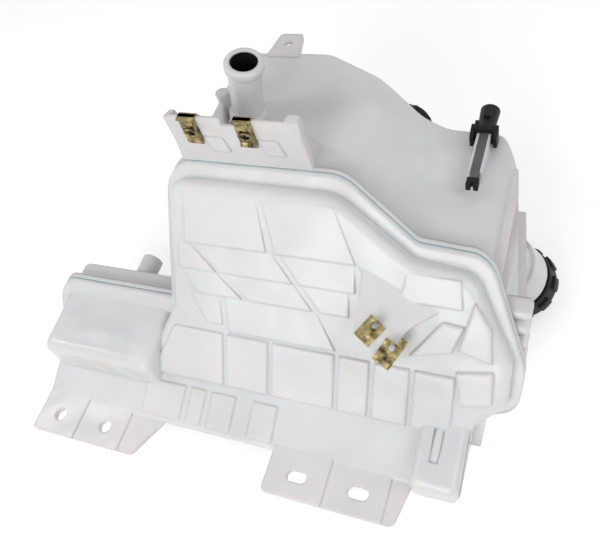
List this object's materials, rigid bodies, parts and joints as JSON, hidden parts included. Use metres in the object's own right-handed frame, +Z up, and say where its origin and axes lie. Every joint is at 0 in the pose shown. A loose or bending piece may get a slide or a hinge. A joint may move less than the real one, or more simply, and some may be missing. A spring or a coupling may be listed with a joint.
{
  "type": "coolant expansion tank",
  "caption": "Two-part moulded coolant expansion tank with a sloping face, hose pipe, screw caps, level sensor, float, spring clips and flat mounting feet.",
  "frame": {"origin": "middle of the left foot's two round holes, on the foot's underside", "axes": "+X along the feet towards the pressure cap, +Y from the feet to the rear of the tank, +Z up from the feet"},
  "size_m": [0.5352, 0.461, 0.3014],
  "materials": {
    "tank_plastic": "translucent natural white polypropylene, satin",
    "black_plastic": "moulded black nylon, satin",
    "dark_plastic": "dark grey moulded plastic",
    "seal_rubber": "moulded seal rubber",
    "zinc_steel": "yellow passivated zinc on spring steel",
    "spring_steel": "drawn spring wire",
    "terminal_brass": "tinned brass strip",
    "magnet": "pressed ferrite"
  },
  "bodies": {
    "tank": {"front_shell": "tank_plastic", "rear_shell": "tank_plastic", "plate_clip_left": "zinc_steel", "plate_clip_right": "zinc_steel", "bracket_clip_upper": "zinc_steel", "bracket_clip_lower": "zinc_steel", "plate_nut_left": "zinc_steel", "plate_nut_right": "zinc_steel", "bracket_nut_upper": "zinc_steel", "bracket_nut_lower": "zinc_steel", "level_sensor": "black_plastic", "sensor_terminal_left": "terminal_brass", "sensor_terminal_right": "terminal_brass"},
    "cap_core": {"cap_valve_body": "dark_plastic", "cap_gasket": "seal_rubber", "pressure_spring": "spring_steel"},
    "cap_valve": {"pressure_valve_disc": "dark_plastic"},
    "cap_grip": {"pressure_cap": "black_plastic"},
    "vent_seal": {"vent_gasket": "seal_rubber"},
    "vent_grip": {"vent_cap": "black_plastic"},
    "float": {"level_float": "dark_plastic", "float_magnet": "magnet"}
  },
  "joints": [
    {"name": "cap_lift", "type": "slide", "parent": "tank", "child": "cap_core", "axis": [0.3287, 0.2761, -0.9032], "range_m": [0, 0.0081]},
    {"name": "cap_turn", "type": "hinge", "parent": "cap_core", "child": "cap_grip", "pos_m": [0.417, 0.27, 0], "axis": [0.3287, 0.2761, -0.9032], "range_deg": [0, 720]},
    {"name": "valve_lift", "type": "slide", "parent": "cap_core", "child": "cap_valve", "axis": [0.3287, 0.2761, -0.9032], "range_m": [0, 0.002], "stiffness_N_per_m": 8000, "springref_m": -0.004, "deforming": ["pressure_spring"]},
    {"name": "vent_lift", "type": "slide", "parent": "tank", "child": "vent_seal", "axis": [0.4599, 0.888, 0], "range_m": [0, 0.0046]},
    {"name": "vent_turn", "type": "hinge", "parent": "vent_seal", "child": "vent_grip", "pos_m": [0.295, 0.36139, 0.116], "axis": [0.4599, 0.888, 0], "range_deg": [0, 540]},
    {"name": "float_slide", "type": "slide", "parent": "tank", "child": "float", "axis": [0, 0, 1], "range_m": [0, 0.04]}
  ],
  "couplings": [
    {"joint": "cap_lift", "follows": "cap_turn", "m_per_rad": 0.00063662},
    {"joint": "vent_lift", "follows": "vent_turn", "m_per_rad": 0.00047746}
  ]
}
